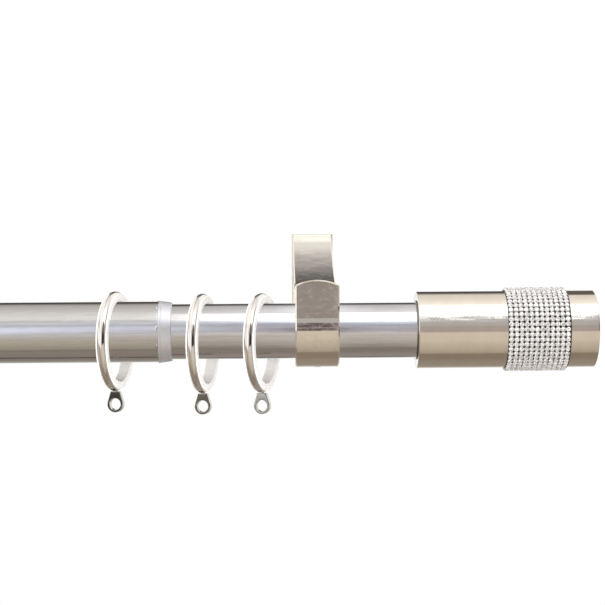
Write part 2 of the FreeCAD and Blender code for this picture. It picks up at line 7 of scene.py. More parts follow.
import bmesh
import bpy
from bmesh.types import BMesh
from bpy.types import ColorRamp, Material, Node, NodeSocket, NodeTree, Object
from mathutils import Matrix, Vector


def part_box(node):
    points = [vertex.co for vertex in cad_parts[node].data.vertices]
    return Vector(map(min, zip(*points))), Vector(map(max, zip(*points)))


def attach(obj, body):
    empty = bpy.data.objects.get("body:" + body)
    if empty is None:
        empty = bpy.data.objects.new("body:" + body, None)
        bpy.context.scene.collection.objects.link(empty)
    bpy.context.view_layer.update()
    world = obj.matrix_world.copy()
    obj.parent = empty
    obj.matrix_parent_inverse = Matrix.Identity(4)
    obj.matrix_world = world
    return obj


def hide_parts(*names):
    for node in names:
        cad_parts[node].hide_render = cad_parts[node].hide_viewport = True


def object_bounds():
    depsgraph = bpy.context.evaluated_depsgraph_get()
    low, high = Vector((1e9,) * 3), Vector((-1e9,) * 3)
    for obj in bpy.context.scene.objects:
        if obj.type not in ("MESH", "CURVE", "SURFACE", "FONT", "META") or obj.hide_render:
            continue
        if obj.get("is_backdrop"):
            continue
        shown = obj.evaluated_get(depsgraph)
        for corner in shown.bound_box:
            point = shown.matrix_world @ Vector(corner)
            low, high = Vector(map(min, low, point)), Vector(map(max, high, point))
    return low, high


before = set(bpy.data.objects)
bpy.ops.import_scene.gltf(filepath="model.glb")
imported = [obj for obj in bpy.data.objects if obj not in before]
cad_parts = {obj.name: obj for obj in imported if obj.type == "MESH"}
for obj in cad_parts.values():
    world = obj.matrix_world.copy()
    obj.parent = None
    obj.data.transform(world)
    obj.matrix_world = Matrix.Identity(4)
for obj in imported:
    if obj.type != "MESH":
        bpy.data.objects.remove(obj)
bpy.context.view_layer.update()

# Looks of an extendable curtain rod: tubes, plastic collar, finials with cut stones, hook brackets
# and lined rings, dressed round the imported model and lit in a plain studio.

LOG = logging.getLogger("curtain_rod")

MM = 0.001
WELD = 1e-7
SHARP = math.radians(32.0)
WHITE = (1.0, 1.0, 1.0)
BLACK = (0.0, 0.0, 0.0)
Triple = tuple[float, float, float]
Colour = Triple
Profile = list[tuple[float, float]]
Stops = tuple[tuple[float, Colour], ...]


class Side(Enum):
    """Which end of the rod a piece belongs to."""

    RIGHT = "right"
    LEFT = "left"


class Body(Enum):
    """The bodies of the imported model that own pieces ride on."""

    FIXED = "fixed_rod"
    INNER = "inner_section"


# ---- shader maths


class Field:
    """A number that varies over a surface, carried by an output socket."""

    def __init__(self, graph: "Graph", socket: NodeSocket) -> None:
        """Keep the graph that the socket belongs to, and the socket."""
        self.graph = graph
        self.socket = socket

    def _join(self, operation: str, first: "Field | float", second: "Field | float") -> "Field":
        """What a Math node gives for one operation on two values."""
        made = self.graph.node("ShaderNodeMath", {"operation": operation}, {0: first, 1: second})
        return Field(self.graph, made.outputs[0])

    def __add__(self, other: "Field | float") -> "Field":
        """Sum."""
        return self._join("ADD", self, other)

    def __radd__(self, other: float) -> "Field":
        """Sum with a plain number first."""
        return self._join("ADD", other, self)

    def __sub__(self, other: "Field | float") -> "Field":
        """Difference."""
        return self._join("SUBTRACT", self, other)

    def __rsub__(self, other: float) -> "Field":
        """A plain number less this field."""
        return self._join("SUBTRACT", other, self)

    def __mul__(self, other: "Field | float") -> "Field":
        """Product."""
        return self._join("MULTIPLY", self, other)

    def __rmul__(self, other: float) -> "Field":
        """Product with a plain number first."""
        return self._join("MULTIPLY", other, self)

    def absolute(self) -> "Field":
        """The value without its sign."""
        return self._join("ABSOLUTE", self, 0.0)

    def at_most(self, limit: "Field | float") -> "Field":
        """The smaller of this and a limit."""
        return self._join("MINIMUM", self, limit)

    def at_least(self, limit: "Field | float") -> "Field":
        """The larger of this and a limit."""
        return self._join("MAXIMUM", self, limit)

    def angle_over(self, other: "Field") -> "Field":
        """Angle in radians whose tangent is this over other."""
        return self._join("ARCTAN2", self, other)

    def rise(self, low: float, high: float) -> "Field":
        """Smooth step of the value.

        Args:
            low: the value at which the step starts, where it gives 0.
            high: the value at which it has reached 1.

        Returns:
            The step, from 0 to 1.
        """
        settings = {"interpolation_type": "SMOOTHSTEP"}
        inputs = {"Value": self, "From Min": low, "From Max": high}
        return Field(self.graph, self.graph.node("ShaderNodeMapRange", settings, inputs).outputs[0])

    def within(self, low: float, high: float, soft: float) -> "Field":
        """1 between two limits and 0 outside them, with soft edges of a given width."""
        half = soft / 2
        return self.rise(low - half, low + half) * self.rise(high + half, high - half)


class Graph:
    """The nodes of one material, or of the world."""

    def __init__(self, tree: NodeTree) -> None:
        """Start from an empty tree."""
        self.tree = tree
        self.tree.nodes.clear()

    def node(
        self,
        kind: str,
        settings: dict[str, object] | None = None,
        inputs: dict[int | str, object] | None = None,
    ) -> Node:
        """Add a node, set it up, then fill its sockets.

        Args:
            kind: type of the node.
            settings: its properties, with "stops" for a ramp's (place, colour) pairs.
            inputs: values, fields or sockets by the input's name or number.

        Returns:
            The node.
        """
        made = self.tree.nodes.new(kind)
        for name, setting in (settings or {}).items():
            if name == "stops":
                fill_ramp(made.color_ramp, setting)
            else:
                setattr(made, name, setting)
        for name, value in (inputs or {}).items():
            source = value.socket if isinstance(value, Field) else value
            if isinstance(source, NodeSocket):
                self.tree.links.new(source, made.inputs[name])
            else:
                made.inputs[name].default_value = source
        return made

    def place(self, scale: Triple, source: str) -> NodeSocket:
        """Coordinates of one kind, stretched by a scale along each axis."""
        coordinates = self.node("ShaderNodeTexCoord").outputs[source]
        inputs = {"Vector": coordinates, "Scale": scale}
        return self.node("ShaderNodeMapping", {}, inputs).outputs[0]

    def noise(
        self, scale: Triple, detail: float = 3.0, roughness: float = 0.5, source: str = "Object"
    ) -> Field:
        """Soft random pattern.

        Args:
            scale: features per metre along each axis.
            detail: how many finer layers are added.
            roughness: how strong the finer layers are.
            source: the coordinates that it follows.

        Returns:
            The pattern, about 0.5 on average.
        """
        place = self.place(scale, source)
        inputs = {"Vector": place, "Scale": 1.0, "Detail": detail, "Roughness": roughness}
        return Field(self, self.node("ShaderNodeTexNoise", {}, inputs).outputs[0])

    def drift(self, scale: Triple, detail: float = 2.0) -> Field:
        """Soft random pattern over the directions of the surroundings, about 0 on average."""
        return self.noise(scale, detail, source="Generated") - 0.5

    def cells(self, scale: Triple) -> Field:
        """Distance from the nearest of many random points, with scale points per metre."""
        inputs = {"Vector": self.place(scale, "Object"), "Scale": 1.0}
        return Field(self, self.node("ShaderNodeTexVoronoi", {}, inputs).outputs[0])

    def mix(self, share: Field, first: object, second: object) -> NodeSocket:
        """Blend two colours by a field, first where it is 0."""
        inputs = {0: share, 6: paint(first), 7: paint(second)}
        return self.node("ShaderNodeMix", {"data_type": "RGBA"}, inputs).outputs[2]

    def bump(self, height: Field, distance: float) -> NodeSocket:
        """Normal of a surface raised by a field times a distance in metres."""
        inputs = {"Height": height, "Distance": distance}
        return self.node("ShaderNodeBump", {}, inputs).outputs[0]


def paint(colour: object) -> object:
    """A colour with its alpha, or a socket as it is."""
    return (*colour, 1.0) if isinstance(colour, tuple) else colour


def fill_ramp(ramp: ColorRamp, stops: list[tuple[float, Colour]]) -> None:
    """Give a ramp its stops.

    Args:
        ramp: the ramp.
        stops: a place from 0 to 1 and a colour for each stop, in order.
    """
    while len(ramp.elements) > 1:
        ramp.elements.remove(ramp.elements[-1])
    for index, (place, colour) in enumerate(stops):
        stop = ramp.elements[0] if index == 0 else ramp.elements.new(place)
        stop.position = place
        stop.color = (*colour, 1.0)


# ---- finishes


@dataclass(frozen=True)
class Finish:
    """A surface finish that is made into one material."""

    name: str
    colour: Colour
    roughness: float
    metallic: float = 1.0

    def material(self) -> Material:
        """Build the material.

        Returns:
            The new material, with its variation added by detail().
        """
        made = bpy.data.materials.new(self.name)
        made.use_nodes = True
        graph = Graph(made.node_tree)
        inputs = {
            "Base Color": paint(self.colour),
            "Roughness": self.roughness,
            "Metallic": self.metallic,
            **self.constants(),
        }
        shader = graph.node("ShaderNodeBsdfPrincipled", {}, inputs)
        for socket, source in self.detail(graph).items():
            target = shader.inputs[socket]
            graph.tree.links.new(source.socket if isinstance(source, Field) else source, target)
        graph.node("ShaderNodeOutputMaterial", {}, {"Surface": shader.outputs[0]})
        return made

    def constants(self) -> dict[str, object]:
        """Sockets of the shader that are the same all over the surface."""
        return {}

    def detail(self, graph: Graph) -> dict[str, object]:
        """What varies over the surface, by the shader's socket."""
        raise NotImplementedError

    def shade(self, share: float) -> Colour:
        """The finish's colour times a share."""
        return tuple(channel * share for channel in self.colour)


@dataclass(frozen=True)
class DrawnMetal(Finish):
    """Plated tube with fine lines along its length and faint smudges."""

    line_depth: float = 2.0e-5
    streak: float = 0.10

    def detail(self, graph: Graph) -> dict[str, object]:
        """Lines along X in colour, roughness and height."""
        lines = graph.noise((14.0, 2600.0, 2600.0), 4.0, 0.62)
        dashes = graph.noise((160.0, 1500.0, 1500.0), 2.0)
        smudges = graph.noise((55.0, 90.0, 90.0), 3.0)
        worn = lines * 0.6 + dashes * 0.4
        ripple = graph.noise((40.0, 420.0, 420.0), 2.0)
        dull = self.shade(1.0 - self.streak)
        return {
            "Base Color": graph.mix(worn.rise(0.34, 0.66), dull, self.colour),
            "Roughness": self.roughness + worn * 0.10 + smudges.rise(0.45, 0.75) * 0.05 - 0.04,
            "Normal": graph.bump(lines * 0.5 + ripple * 2.2, self.line_depth),
        }


@dataclass(frozen=True)
class PlatedMetal(Finish):
    """Polished plating with clouds of fine scratches and a slight wave in its surface."""

    cloud: float = 0.05
    wave: float = 1.4e-5

    def detail(self, graph: Graph) -> dict[str, object]:
        """Clouds in colour and roughness, waves and grain in height."""
        clouds = graph.noise((170.0, 120.0, 120.0), 5.0, 0.6)
        grain = graph.noise((900.0, 1300.0, 1300.0), 3.0)
        hairs = graph.noise((70.0, 1900.0, 1900.0), 3.0, 0.7)
        dull = self.shade(1.0 - self.cloud)
        scuffs = clouds.rise(0.5, 0.8) * 0.04
        return {
            "Base Color": graph.mix(clouds.rise(0.35, 0.68), dull, self.colour),
            "Roughness": self.roughness + scuffs + hairs.rise(0.55, 0.8) * 0.03,
            "Normal": graph.bump(clouds + grain * 0.10, self.wave),
        }


@dataclass(frozen=True)
class GrainedMetal(Finish):
    """Plated extrusion with a fine grain, pits and scratches."""

    grain: float = 2.2e-5

    def detail(self, graph: Graph) -> dict[str, object]:
        """Grain in height, pits and clouds in colour and roughness."""
        fine = graph.noise((1250.0, 1250.0, 1250.0), 3.0, 0.55)
        coarse = graph.noise((380.0, 520.0, 520.0), 3.0, 0.6)
        pits = graph.cells((420.0, 420.0, 420.0)).rise(0.16, 0.05)
        scratches = graph.noise((60.0, 1500.0, 900.0), 2.0, 0.7)
        worn = (fine * 0.7 + pits * 0.5).rise(0.3, 0.8)
        scuffs = coarse.rise(0.45, 0.8) * 0.10
        return {
            "Base Color": graph.mix(worn, self.colour, self.shade(0.9)),
            "Roughness": self.roughness + scuffs + scratches.rise(0.55, 0.75) * 0.05,
            "Normal": graph.bump(fine * 0.4 + coarse * 0.7 - pits * 0.25, self.grain),
        }


@dataclass(frozen=True)
class MouldedPlastic(Finish):
    """Plain moulded plastic with a faint mottle."""

    metallic: float = 0.0
    depth: float = 6.0e-6
    gloss: float = 0.0

    def constants(self) -> dict[str, object]:
        """A thin gloss over the plastic."""
        return {"Coat Weight": self.gloss, "Coat Roughness": 0.12}

    def detail(self, graph: Graph) -> dict[str, object]:
        """Mottle in colour, roughness and height."""
        mottle = graph.noise((260.0, 260.0, 260.0), 4.0)
        skin = graph.noise((2400.0, 2400.0, 2400.0), 2.0)
        return {
            "Base Color": graph.mix(mottle.rise(0.3, 0.75), self.colour, self.shade(0.95)),
            "Roughness": self.roughness + mottle * 0.08 - 0.04,
            "Normal": graph.bump(mottle * 0.6 + skin * 0.4, self.depth),
        }


@dataclass(frozen=True)
class CutStone(Finish):
    """Foil-backed cut stones, with each stone a little different from its neighbours."""

    def detail(self, graph: Graph) -> dict[str, object]:
        """Changes of tint from stone to stone, and of brightness from facet to facet."""
        tint = graph.noise((600.0, 600.0, 600.0), 2.0)
        facets = graph.cells((1500.0, 1500.0, 1500.0)).rise(0.25, 0.75)
        plain = graph.mix(tint.rise(0.35, 0.7), (0.91, 0.90, 0.89), self.colour)
        return {
            "Base Color": graph.mix(facets * 0.75, plain, (0.34, 0.33, 0.325)),
            "Roughness": self.roughness + tint * 0.08,
        }


class Finishes:
    """Every finish of the object, each made once and then shared."""

    DRAWN_TUBE = DrawnMetal("drawn_tube_nickel", (0.74, 0.73, 0.745), 0.075)
    FINIAL = PlatedMetal("finial_plating", (0.80, 0.74, 0.64), 0.025)
    RING = PlatedMetal("ring_plating", (0.85, 0.81, 0.765), 0.02, cloud=0.03, wave=2.0e-6)
    BRACKET = GrainedMetal("bracket_plating", (0.80, 0.74, 0.64), 0.04, grain=6.0e-6)
    PLATE = GrainedMetal("plate_metal", (0.66, 0.64, 0.55), 0.24)
    # Eyelet faces: darker and lighter copies of one casting, one for each ring, as painted
    # reflection of the different surroundings each eyelet faces.
    EYE_PAINTED_DARK_REFLECTION = GrainedMetal("eyelet_painted_dark_reflection", (0.055, 0.052, 0.048), 0.30, grain=3.0e-5)
    EYE_PAINTED_MID_REFLECTION = GrainedMetal("eyelet_painted_mid_reflection", (0.13, 0.125, 0.105), 0.30, grain=3.0e-5)
    EYE_PAINTED_PALE_REFLECTION = GrainedMetal("eyelet_painted_pale_reflection", (0.42, 0.41, 0.40), 0.30, grain=5.0e-5)
    EYE_RIM = GrainedMetal("eyelet_rim", (0.62, 0.60, 0.56), 0.14, grain=6.0e-6)
    SCREW = GrainedMetal("screw_steel", (0.55, 0.55, 0.56), 0.28)
    MESH = GrainedMetal("dark_mesh", (0.055, 0.05, 0.05), 0.40)
    # Dark finish on the stones' skirt faces: painted shade of the stones' sides.
    STONE_SIDE_PAINTED_SHADE = GrainedMetal("stone_side_painted_shade", (0.16, 0.155, 0.15), 0.30)
    COLLAR = MouldedPlastic("collar_plastic", (0.72, 0.72, 0.755), 0.45, 0.86, gloss=0.25)
    LINER = MouldedPlastic("liner_nylon", (0.97, 0.955, 0.94), 0.34, gloss=0.25)
    # Dark copy of the adapter's plating for its round faces: painted shadow of the gap between lip
    # and drum. The flat faces keep the plain plating.
    PAINTED_SHADE_LIP = PlatedMetal("adapter_metal", (0.20, 0.20, 0.185), 0.16)
    LIP_FACE = PlatedMetal("adapter_face", (0.80, 0.80, 0.79), 0.08)
    HIDDEN = MouldedPlastic("glide_plastic", (0.82, 0.82, 0.82), 0.45)
    STONE = CutStone("cut_stones", (0.99, 0.985, 0.975), 0.05, 0.5)

    def __init__(self) -> None:
        """Start with nothing made."""
        self._made: dict[str, Material] = {}

    def put(self, target: Object, *finishes: Finish) -> None:
        """Dress an object.

        Args:
            target: a mesh object.
            finishes: its finishes, of which each face shows the first or the one it is given.
        """
        target.data.materials.clear()
        for finish in finishes:
            if finish.name not in self._made:
                self._made[finish.name] = finish.material()
            target.data.materials.append(self._made[finish.name])
        names = ", ".join(finish.name for finish in finishes)
        LOG.info("%s: %d faces, %s", target.name, len(target.data.polygons), names)


# ---- meshes


@dataclass(frozen=True)
class Span:
    """Where a turned CAD node stands, in millimetres."""

    left: float
    right: float
    radius: float
    middle: Vector

    @staticmethod
    def of(node: str) -> "Span":
        """Read it from a node's box."""
        low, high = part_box(node)
        return Span(low.x / MM, high.x / MM, (high.z - low.z) / 2 / MM, (low + high) / 2 / MM)


def round_corners(points: Profile, radii: list[float], steps: int = 4) -> Profile:
    """Put an arc at each corner of a closed profile.

    Args:
        points: the corners.
        radii: an arc's radius for each corner, 0 for a sharp one.
        steps: how many straight pieces make an arc.

    Returns:
        The corners and the points of the arcs.
    """
    result: Profile = []
    for index, (point, radius) in enumerate(zip(points, radii)):
        if radius == 0:
            result.append(point)
            continue
        corner = Vector(point)
        back = (Vector(points[index - 1]) - corner).normalized()
        ahead = (Vector(points[(index + 1) % len(points)]) - corner).normalized()
        half = back.angle(ahead) / 2
        middle = corner + (back + ahead).normalized() * (radius / math.sin(half))
        first = corner + back * (radius / math.tan(half)) - middle
        last = corner + ahead * (radius / math.tan(half)) - middle
        for step in range(steps + 1):
            spoke = first.lerp(last, step / steps).normalized() * radius
            result.append(tuple(middle + spoke))
    return result


def shell(length: float, bore: float, radius: float) -> Profile:
    """Corners of a plain tube's wall, from 0 to its length."""
    return [(0.0, bore), (length, bore), (length, radius), (0.0, radius)]


def loft(mesh: BMesh, loops: list[list[Vector]]) -> None:
    """Join closed loops of as many points each with quads, and the last one to the first.

    Args:
        mesh: mesh that gets the faces.
        loops: the loops, in order.
    """
    rows = [[mesh.verts.new(point) for point in loop] for loop in loops]
    for near, far in zip(rows, rows[1:] + rows[:1]):
        for index in range(len(near)):
            after = (index + 1) % len(near)
            mesh.faces.new((near[index], near[after], far[after], far[index]))


def finish_mesh(name: str, mesh: BMesh, placing: Matrix, smooth: bool = True) -> Object:
    """Turn a mesh in millimetres into an object in metres.

    Args:
        name: the object's name.
        mesh: the mesh, which is used up.
        placing: where it stands in the part's frame, in millimetres.
        smooth: whether faces between hard edges are shaded as one surface.

    Returns:
        The new object, at the origin.
    """
    bmesh.ops.transform(mesh, matrix=Matrix.Scale(MM, 4) @ placing, verts=mesh.verts)
    bmesh.ops.remove_doubles(mesh, verts=mesh.verts, dist=WELD)
    bmesh.ops.recalc_face_normals(mesh, faces=mesh.faces)
    for face in mesh.faces:
        face.smooth = smooth
    for edge in mesh.edges:
        edge.smooth = len(edge.link_faces) == 2 and edge.calc_face_angle(0.0) < SHARP
    data = bpy.data.meshes.new(name)
    mesh.to_mesh(data)
    mesh.free()
    made = bpy.data.objects.new(name, data)
    bpy.context.scene.collection.objects.link(made)
    return made


def hold_ends(profile: Profile, margin: float = 0.12) -> Profile:
    """Put a point near each end of every long run, so that roundings don't shade the run.

    Args:
        profile: points of a closed profile.
        margin: how far from the run's end the point is.

    Returns:
        The points with the new ones.
    """
    result: Profile = []
    for index, point in enumerate(profile):
        start, end = Vector(point), Vector(profile[(index + 1) % len(profile)])
        result.append(point)
        length = (end - start).length
        if length > 6 * margin:
            share = margin / length
            result += [tuple(start.lerp(end, share)), tuple(end.lerp(start, share))]
    return result


def lathe(profile: Profile, segments: int) -> BMesh:
    """Turn a closed profile of (along, radius) points round the X axis.

    Args:
        profile: the points.
        segments: how many steps make a full turn.

    Returns:
        The mesh.
    """
    mesh = bmesh.new()
    loops = []
    for along, radius in hold_ends(profile):
        angles = [2 * math.pi * step / segments for step in range(segments)]
        loops.append([Vector((along, -radius * math.cos(a), radius * math.sin(a))) for a in angles])
    loft(mesh, loops)
    return mesh


def rotation(degrees: float, axis: str) -> Matrix:
    """A turn about one axis."""
    return Matrix.Rotation(math.radians(degrees), 4, axis)


def standing(middle: Vector, along: float, yaw: float = 0.0) -> Matrix:
    """Place along X on the axis through a middle, turned about the vertical by yaw degrees."""
    point = Vector((along, middle.y, middle.z))
    return Matrix.Translation(point) @ rotation(yaw, "Z")


# ---- the rod


@dataclass
class Assembly:
    """A sub-assembly that dresses its pieces. Its lengths are in millimetres."""

    finishes: Finishes

    def dress(self, made: Object, slot: str, body: str, *finishes: Finish, node: str = "") -> None:
        """Give a piece its finishes, the node it stands for and its body.

        Args:
            made: the piece.
            slot: the record's material slot; not used.
            body: the body that it rides on.
            finishes: its finishes.
            node: the CAD node that it replaces, if any.
        """
        self.finishes.put(made, *finishes)
        if node:
            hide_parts(node)
        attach(made, body)


@dataclass
class Tubes(Assembly):
    """The two telescoping tubes, the collar between them and the hidden glide."""

    wall: float = 0.6
    edge: float = 0.22
    gap: float = 0.05
    segments: int = 256
    crimp_zone: float = 2.2
    crimp_run: float = 1.9
    crimp_rows: int = 16
    crimp_from_mouth: float = 0.25
    crimp_height: float = 0.60
    crimp_spread: float = 0.44
    crimp_turns: tuple[float, ...] = tuple(8.2 - 35.0 * count for count in range(10))
    collar_nose: float = 13.6
    collar_bead: float = 1.1
    collar_groove: tuple[tuple[float, float], ...] = (
        (0.25, -0.05), (0.15, -0.18), (0.0, -0.18), (-0.08, 0.0),
    )

    def tube(self, node: str, body: Body, crimped: bool) -> None:
        """Make one tube.

        Args:
            node: the CAD node that it stands for.
            body: the body that it rides on.
            crimped: whether small punched pips hold a collar in its right end.
        """
        span = Span.of(node)
        length = span.right - span.left
        corners = shell(length, span.radius - self.wall, span.radius)
        profile = round_corners(corners, [self.edge] * len(corners))
        if crimped:
            last = length - self.crimp_zone
            rows = range(self.crimp_rows, -1, -1)
            extra = [(last + self.crimp_run * row / self.crimp_rows, span.radius) for row in rows]
            rounding = length - self.edge - 0.01
            after = max(index for index, point in enumerate(profile) if point[0] > rounding) + 1
            profile[after:after] = extra
        mesh = lathe(profile, self.segments)
        if crimped:
            self.crimp(mesh, length, span.radius)
        made = finish_mesh(f"{node}_drawn", mesh, standing(span.middle, span.left))
        self.dress(made, "tube_nickel", body.value, Finishes.DRAWN_TUBE, node=node)

    def crimp(self, mesh: BMesh, length: float, radius: float) -> None:
        """Raise small punched pips on the outside, near the right end.

        Args:
            mesh: the tube, still along its own axis.
            length: its length.
            radius: its outside radius.
        """
        skin, start = radius - 0.05, length - self.crimp_zone - 0.1
        for vertex in mesh.verts:
            spoke = Vector((0.0, vertex.co.y, vertex.co.z))
            if spoke.length < skin or vertex.co.x < start:
                continue
            angle = math.degrees(math.atan2(vertex.co.z, -vertex.co.y))
            for turn in self.crimp_turns:
                around = math.radians((angle - turn + 180.0) % 360.0 - 180.0) * radius
                along = vertex.co.x - (length - self.crimp_from_mouth)
                far = (around ** 2 + along ** 2) / self.crimp_spread ** 2
                vertex.co += spoke.normalized() * self.crimp_height * math.exp(-far)

    def collar(self) -> None:
        """Make the tapered plastic collar with its bead and groove."""
        span = Span.of("step_collar")
        outer = Span.of("outer_tube")
        bore = Span.of("inner_tube").radius + self.gap
        spigot = outer.radius - self.wall - self.gap
        start, end = outer.right - span.left, span.right - span.left
        bead = span.radius - (span.radius - self.collar_nose) * self.collar_bead / (end - start)
        ledge = start + self.collar_bead
        corners = [
            (0.0, bore), (end, bore), (end, self.collar_nose - 0.1),
            *((ledge + along, bead + rise) for along, rise in self.collar_groove),
            (start, span.radius), (start, spigot), (0.0, spigot),
        ]
        radii = [0.2, 0.1, 0.45, 0.03, 0.02, 0.02, 0.04, 0.16, 0.02, 0.15]
        mesh = lathe(round_corners(corners, radii), self.segments)
        made = finish_mesh("step_collar_moulded", mesh, standing(span.middle, span.left))
        body = Body.FIXED.value
        self.dress(made, "collar_plastic", body, Finishes.COLLAR, node="step_collar")

    def build(self) -> None:
        """Make and dress all of it."""
        self.tube("outer_tube", Body.FIXED, crimped=True)
        self.tube("inner_tube", Body.INNER, crimped=False)
        self.collar()
        self.finishes.put(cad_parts["inner_glide"], Finishes.HIDDEN)


@dataclass
class Finial(Assembly):
    """One drum finial: sleeve, end cap, adapter, grub screw and a band of cut stones."""

    side: Side
    body: Body
    tube_node: str
    wall: float = 1.0
    gap: float = 0.05
    segments: int = 256
    cap_segments: int = 128
    adapter_segments: int = 160
    bore_rounding: float = 0.15
    rim_rounding: float = 0.35
    end_rounding: float = 0.45
    cap_thickness: float = 2.5
    cap_dish: float = 0.25
    cap_rim: float = 2.2
    cap_slope: float = 0.5
    cap_inset: float = 0.02
    band_base: float = 18.2
    columns: int = 12
    stone_height: float = 1.1
    stone_rise: float = 0.97
    stone_share: float = 0.53
    stone_shift: float = 0.05
    stone_lean: float = 3.5
    stone_spin: float = 3.0
    stone_corners: int = 8
    stone_rows: tuple[Triple, ...] = (
        (1.0, 0.0, 0.5), (1.0, 0.36, 0.5), (0.84, 0.72, 0.0), (0.54, 1.0, 0.5),
    )
    net_bore: float = 17.75
    net_near: float = 0.08
    net_far: float = 0.45
    net_height: float = 0.12
    lip_back: float = 0.35
    lip_root: float = 0.85
    lip_rise: float = 0.9
    lip_flatness: float = 0.9
    shoulder: float = 2.5
    seed: int = 11

    def name(self, piece: str) -> str:
        """Name of one of this finial's CAD nodes."""
        return f"{self.side.value}_finial_{piece}"

    def near(self, span: Span) -> float:
        """Where the end of a piece that faces the rod's middle is along the rod."""
        return span.left if self.side is Side.RIGHT else span.right

    def placing(self, middle: Vector, along: float) -> Matrix:
        """Place along the rod, with the drawing's X axis from the rim to the end."""
        return standing(middle, along, 0.0 if self.side is Side.RIGHT else 180.0)

    def turned(
        self, piece: str, profile: Profile, segments: int, slot: str, *finishes: Finish
    ) -> Object:
        """Turn the piece that stands for one of this finial's CAD nodes.

        Args:
            piece: the node's name without the finial's.
            profile: points of (along, radius), from the end that faces the rod's middle.
            segments: how many steps make a full turn.
            slot: the record's material slot.
            finishes: its finishes.

        Returns:
            The piece.
        """
        node = self.name(piece)
        span = Span.of(node)
        placing = self.placing(span.middle, self.near(span))
        made = finish_mesh(f"{node}_turned", lathe(profile, segments), placing)
        self.dress(made, slot, self.body.value, *finishes, node=node)
        return made

    def sleeve(self) -> None:
        """Make the polished drum."""
        span = Span.of(self.name("sleeve"))
        corners = shell(span.right - span.left, span.radius - self.wall, span.radius)
        radii = [self.bore_rounding, self.bore_rounding, self.end_rounding, self.rim_rounding]
        profile = round_corners(corners, radii, 7)
        self.turned("sleeve", profile, self.segments, "finial_nickel", Finishes.FINIAL)

    def cap(self) -> None:
        """Make the end cap, slightly dished inside its rounded rim."""
        radius = Span.of(self.name("cap")).radius
        dish, rim = self.cap_thickness - self.cap_dish, self.cap_thickness - self.cap_inset
        inner = radius - self.cap_rim
        outline = [
            (0.0, 0.0), (dish, 0.0), (dish, inner), (rim, inner + self.cap_slope),
            (rim, radius), (0.0, radius),
        ]
        profile = round_corners(outline, [0.0, 0.0, 0.3, 0.2, 0.3, 0.1])
        self.turned("cap", profile, self.cap_segments, "finial_nickel", Finishes.FINIAL)

    def stone(self, mesh: BMesh, spot: Matrix, size: float) -> None:
        """Cut one stone: a skirt in painted shade, two rows of facets and a table.

        Args:
            mesh: mesh that gets the stone.
            spot: its place, with its table along Z.
            size: radius of its widest part.
        """
        height = self.stone_height * self.stone_rise
        corners = range(self.stone_corners)
        rows = []
        for share, lift, turn in self.stone_rows:
            row = []
            for corner in corners:
                angle = 2 * math.pi * (corner + turn) / self.stone_corners
                across, up = size * share * math.cos(angle), size * share * math.sin(angle)
                row.append(mesh.verts.new(spot @ Vector((across, up, height * lift))))
            rows.append(row)
        skirt, girdle, crown, table = rows
        for this in corners:
            after = (this + 1) % self.stone_corners
            side = mesh.faces.new((skirt[this], skirt[after], girdle[after], girdle[this]))
            # The skirt takes the second finish, painted shade on the stone's side.
            side.material_index = 1
            mesh.faces.new((girdle[this], girdle[after], crown[after]))
            mesh.faces.new((girdle[this], crown[after], crown[this]))
            mesh.faces.new((crown[this], crown[after], table[this]))
            mesh.faces.new((crown[after], table[after], table[this]))
        mesh.faces.new(table)

    def stones(self) -> None:
        """Set rows of stones round the drum, each tilted a little, and the dark net under them."""
        node = self.name("stones")
        span = Span.of(node)
        rim = self.near(Span.of(self.name("sleeve")))
        start = abs(self.near(span) - rim)
        length = span.right - span.left
        step = length / self.columns
        rows = round(2 * math.pi * (self.band_base + self.stone_height / 2) / step)
        chance = random.Random(self.seed)
        mesh = bmesh.new()
        for row in range(rows):
            around = Matrix.Rotation(2 * math.pi * (row + 0.5) / rows, 4, "X")
            for column in range(self.columns):
                aside = chance.uniform(-self.stone_shift, self.stone_shift)
                shift = Vector((start + (column + 0.5) * step, aside, self.band_base))
                lean = rotation(chance.gauss(0.0, self.stone_lean), "X")
                lean @= rotation(chance.gauss(0.0, self.stone_lean), "Y")
                spin = rotation(chance.uniform(-self.stone_spin, self.stone_spin), "Z")
                spot = around @ Matrix.Translation(shift) @ lean @ spin
                self.stone(mesh, spot, step * self.stone_share)
        placing = self.placing(span.middle, rim)
        made = finish_mesh(f"{node}_cut", mesh, placing, smooth=False)
        body = self.body.value
        # Second finish: painted shade on the stones' skirts.
        self.dress(made, "cut_stone", body, Finishes.STONE, Finishes.STONE_SIDE_PAINTED_SHADE, node=node)

        near, far = start - self.net_near, start + length + self.net_far
        top = self.band_base + self.net_height
        outline = [(near, self.net_bore), (far, self.net_bore), (far, top), (near, top)]
        profile = round_corners(outline, [0.05, 0.05, 0.12, 0.12])
        net = finish_mesh(f"{node}_net", lathe(profile, self.segments), placing)
        self.dress(net, "cut_stone", body, Finishes.MESH)

    def adapter(self) -> None:
        """Make the insert whose rounded lip shows where the tube goes in. Its round faces take a
        dark copy of the plating, painted shadow of the gap between lip and drum.
        """
        span = Span.of(self.name("adapter"))
        bore = Span.of(self.tube_node).radius + self.gap
        length = span.right - span.left
        inner, seat, lip = bore - self.shoulder, length - self.shoulder, bore + self.lip_rise
        corners = [
            (self.lip_back, bore), (seat, bore), (seat, inner), (length, inner),
            (length, span.radius), (self.lip_root, span.radius), (self.lip_root, lip),
            (self.lip_back, lip),
        ]
        profile = round_corners(corners, [0.1, 0.0, 0.0, 0.0, 0.2, 0.1, 0.05, 0.25])
        # Round faces get the painted-shadow copy, flat faces the plain plating.
        finishes = Finishes.PAINTED_SHADE_LIP, Finishes.LIP_FACE
        segments = self.adapter_segments
        made = self.turned("adapter", profile, segments, "adapter_metal", *finishes)
        for face in made.data.polygons:
            face.material_index = int(abs(face.normal.x) > self.lip_flatness)

